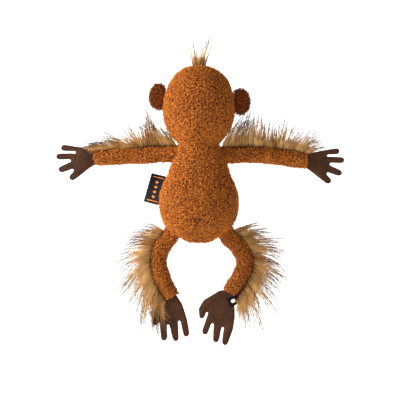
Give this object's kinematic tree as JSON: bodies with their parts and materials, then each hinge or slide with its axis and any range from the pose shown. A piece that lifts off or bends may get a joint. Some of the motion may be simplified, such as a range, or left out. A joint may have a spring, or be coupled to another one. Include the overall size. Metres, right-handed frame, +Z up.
{
  "type": "stuffed monkey",
  "caption": "Soft plush monkey with limp jointed limbs, curly rust pile, long cream fur strips and flat suede hands and feet.",
  "frame": {"origin": "middle of the flat seat under the torso", "axes": "+Z up towards the crown, -Y towards the back, +Y towards the face, +X towards the side named right"},
  "size_m": [0.3473, 0.0914, 0.3666],
  "materials": {
    "curly_pile": "matte",
    "stuffing": "matte",
    "bean_pouch": "matte",
    "suede": "matte",
    "face_suede": "matte",
    "ear_velour": "matte",
    "long_fur": "matte",
    "eye_plastic": "gloss",
    "washer_plastic": "satin",
    "label_satin": "satin",
    "stitching": "satin"
  },
  "bodies": {
    "torso": {"torso_back_cover": "curly_pile", "torso_front_cover": "curly_pile", "torso_fill": "stuffing", "bean_bag": "bean_pouch"},
    "head": {"head_back_cover": "curly_pile", "head_front_cover": "curly_pile", "head_fill": "stuffing", "face_panel": "face_suede", "muzzle": "face_suede", "nose": "stitching", "mouth": "stitching", "left_eye": "eye_plastic", "right_eye": "eye_plastic", "left_eye_washer": "washer_plastic", "right_eye_washer": "washer_plastic", "crown_tuft": "long_fur"},
    "hang_tag": {"hang_tag": "label_satin"},
    "ankle_label": {"ankle_label": "label_satin"},
    "left_ear": {"left_ear_back": "ear_velour", "left_ear_lining": "ear_velour"},
    "left_upper_arm": {"left_upper_arm_sleeve": "curly_pile", "left_upper_arm_fill": "stuffing", "left_upper_arm_fur": "long_fur"},
    "left_forearm": {"left_forearm_sleeve": "curly_pile", "left_forearm_fill": "stuffing", "left_forearm_fur": "long_fur"},
    "left_thigh": {"left_thigh_sleeve": "curly_pile", "left_thigh_fill": "stuffing", "left_thigh_fur": "long_fur"},
    "left_shin": {"left_shin_sleeve": "curly_pile", "left_shin_fill": "stuffing", "left_shin_fur": "long_fur"},
    "left_hand": {"left_hand_back": "suede", "left_hand_palm": "suede"},
    "left_foot": {"left_foot_top": "suede", "left_foot_sole": "suede"},
    "right_ear": {"right_ear_back": "ear_velour", "right_ear_lining": "ear_velour"},
    "right_upper_arm": {"right_upper_arm_sleeve": "curly_pile", "right_upper_arm_fill": "stuffing", "right_upper_arm_fur": "long_fur"},
    "right_forearm": {"right_forearm_sleeve": "curly_pile", "right_forearm_fill": "stuffing", "right_forearm_fur": "long_fur"},
    "right_thigh": {"right_thigh_sleeve": "curly_pile", "right_thigh_fill": "stuffing", "right_thigh_fur": "long_fur"},
    "right_shin": {"right_shin_sleeve": "curly_pile", "right_shin_fill": "stuffing", "right_shin_fur": "long_fur"},
    "right_hand": {"right_hand_back": "suede", "right_hand_palm": "suede"},
    "right_foot": {"right_foot_top": "suede", "right_foot_sole": "suede"}
  },
  "joints": [
    {"name": "neck_nod", "type": "hinge", "parent": "torso", "child": "head", "pos_m": [0, 0, 0.113], "axis": [-1, 0, 0], "range_deg": [-15, 20]},
    {"name": "left_ear_turn", "type": "hinge", "parent": "head", "child": "left_ear", "pos_m": [-0.043, 0.002, 0.172], "axis": [0, 0, -1], "range_deg": [-25, 25]},
    {"name": "right_ear_turn", "type": "hinge", "parent": "head", "child": "right_ear", "pos_m": [0.04256, 0.002, 0.166], "axis": [0, 0, 1], "range_deg": [-25, 25]},
    {"name": "left_shoulder", "type": "hinge", "parent": "torso", "child": "left_upper_arm", "pos_m": [-0.03464, 0.004, 0.1038], "axis": [0, -1, 0], "range_deg": [-30, 45]},
    {"name": "left_elbow", "type": "hinge", "parent": "left_upper_arm", "child": "left_forearm", "pos_m": [-0.07984, 0.004, 0.1014], "axis": [0, 0, -1], "range_deg": [-10, 75]},
    {"name": "left_wrist", "type": "hinge", "parent": "left_forearm", "child": "left_hand", "pos_m": [-0.12644, 0.004, 0.099], "axis": [0, 0, -1], "range_deg": [-45, 45]},
    {"name": "right_shoulder", "type": "hinge", "parent": "torso", "child": "right_upper_arm", "pos_m": [0.03527, 0.004, 0.102], "axis": [0, 1, 0], "range_deg": [-30, 45]},
    {"name": "right_elbow", "type": "hinge", "parent": "right_upper_arm", "child": "right_forearm", "pos_m": [0.08247, 0.004, 0.1015], "axis": [0, 0, 1], "range_deg": [-10, 75]},
    {"name": "right_wrist", "type": "hinge", "parent": "right_forearm", "child": "right_hand", "pos_m": [0.12947, 0.004, 0.0948], "axis": [0, 0, 1], "range_deg": [-45, 45]},
    {"name": "left_hip", "type": "hinge", "parent": "torso", "child": "left_thigh", "pos_m": [-0.03519, 0.006, 0.004], "axis": [1, 0, 0], "range_deg": [-15, 90]},
    {"name": "left_knee", "type": "hinge", "parent": "left_thigh", "child": "left_shin", "pos_m": [-0.04879, 0.006, -0.027], "axis": [-1, 0, 0], "range_deg": [-10, 75]},
    {"name": "left_ankle", "type": "hinge", "parent": "left_shin", "child": "left_foot", "pos_m": [-0.03199, 0.006, -0.0684], "axis": [1, 0, 0], "range_deg": [-40, 40]},
    {"name": "right_hip", "type": "hinge", "parent": "torso", "child": "right_thigh", "pos_m": [0.03519, 0.006, 0.004], "axis": [1, 0, 0], "range_deg": [-15, 90]},
    {"name": "right_knee", "type": "hinge", "parent": "right_thigh", "child": "right_shin", "pos_m": [0.05519, 0.006, -0.027], "axis": [-1, 0, 0], "range_deg": [-10, 75]},
    {"name": "right_ankle", "type": "hinge", "parent": "right_shin", "child": "right_foot", "pos_m": [0.03719, 0.006, -0.0636], "axis": [1, 0, 0], "range_deg": [-40, 40]},
    {"name": "hang_tag_flap", "type": "hinge", "parent": "torso", "child": "hang_tag", "pos_m": [-0.04451, 0.006, 0.059], "axis": [-0.2452, 0, -0.9695], "range_deg": [-70, 30]},
    {"name": "ankle_label_flap", "type": "hinge", "parent": "right_foot", "child": "ankle_label", "pos_m": [0.03899, 0.0004, -0.0682], "axis": [-0.9272, 0, -0.3746], "range_deg": [0, 60]}
  ]
}
